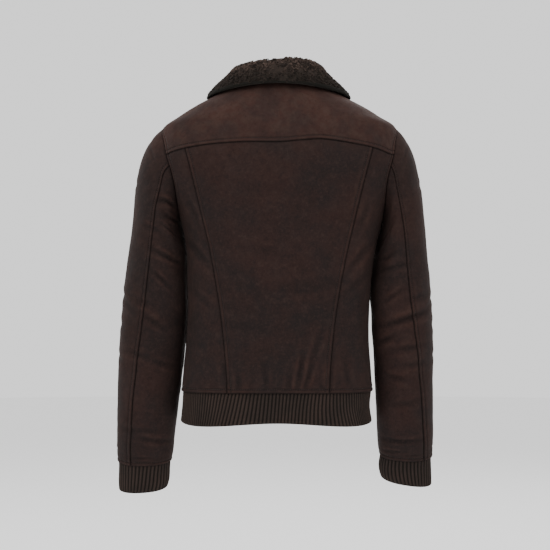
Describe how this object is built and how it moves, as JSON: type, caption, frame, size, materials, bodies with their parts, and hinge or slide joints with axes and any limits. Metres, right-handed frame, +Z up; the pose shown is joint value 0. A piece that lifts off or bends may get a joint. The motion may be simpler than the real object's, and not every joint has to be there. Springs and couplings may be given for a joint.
{
  "type": "shearling jacket",
  "caption": "Waist-length dark brown shearling jacket with a turned-down curly collar, a yoked back with two slanting seams, ribbed hem and cuffs and a zip front.",
  "frame": {"origin": "at the nape, over the middle of the neck opening, where the wearer's shoulders carry the jacket", "axes": "+Z up, the front faces -Y, the wearer's left is +X"},
  "size_m": [0.6094, 0.2531, 0.8238],
  "materials": {
    "suede": "dark brown suede with a soft, slightly mottled nap",
    "curly_wool": "short, dense grey-brown curls",
    "rib_knit": "matt ribbed wool knit",
    "zip_tape": "matt woven tape",
    "zip_metal": "aged, satin"
  },
  "bodies": {
    "garment": {"back_centre": "suede", "back_side_left": "suede", "back_side_right": "suede", "back_yoke": "suede", "front_left": "suede", "front_right": "suede", "sleeve_top_left": "suede", "sleeve_under_left": "suede", "sleeve_top_right": "suede", "sleeve_under_right": "suede", "cuff_left": "rib_knit", "cuff_right": "rib_knit", "hem_rib": "rib_knit", "collar": "curly_wool", "zip_left": "zip_tape", "zip_right": "zip_tape", "zip_slider": "zip_metal"},
    "pull": {"zip_pull": "zip_metal"}
  },
  "joints": [
    {"name": "zip_pull_hinge", "type": "hinge", "parent": "garment", "child": "pull", "pos_m": [0, -0.0745, -0.088], "axis": [-1, 0, 0], "range_deg": [0, 150]}
  ]
}
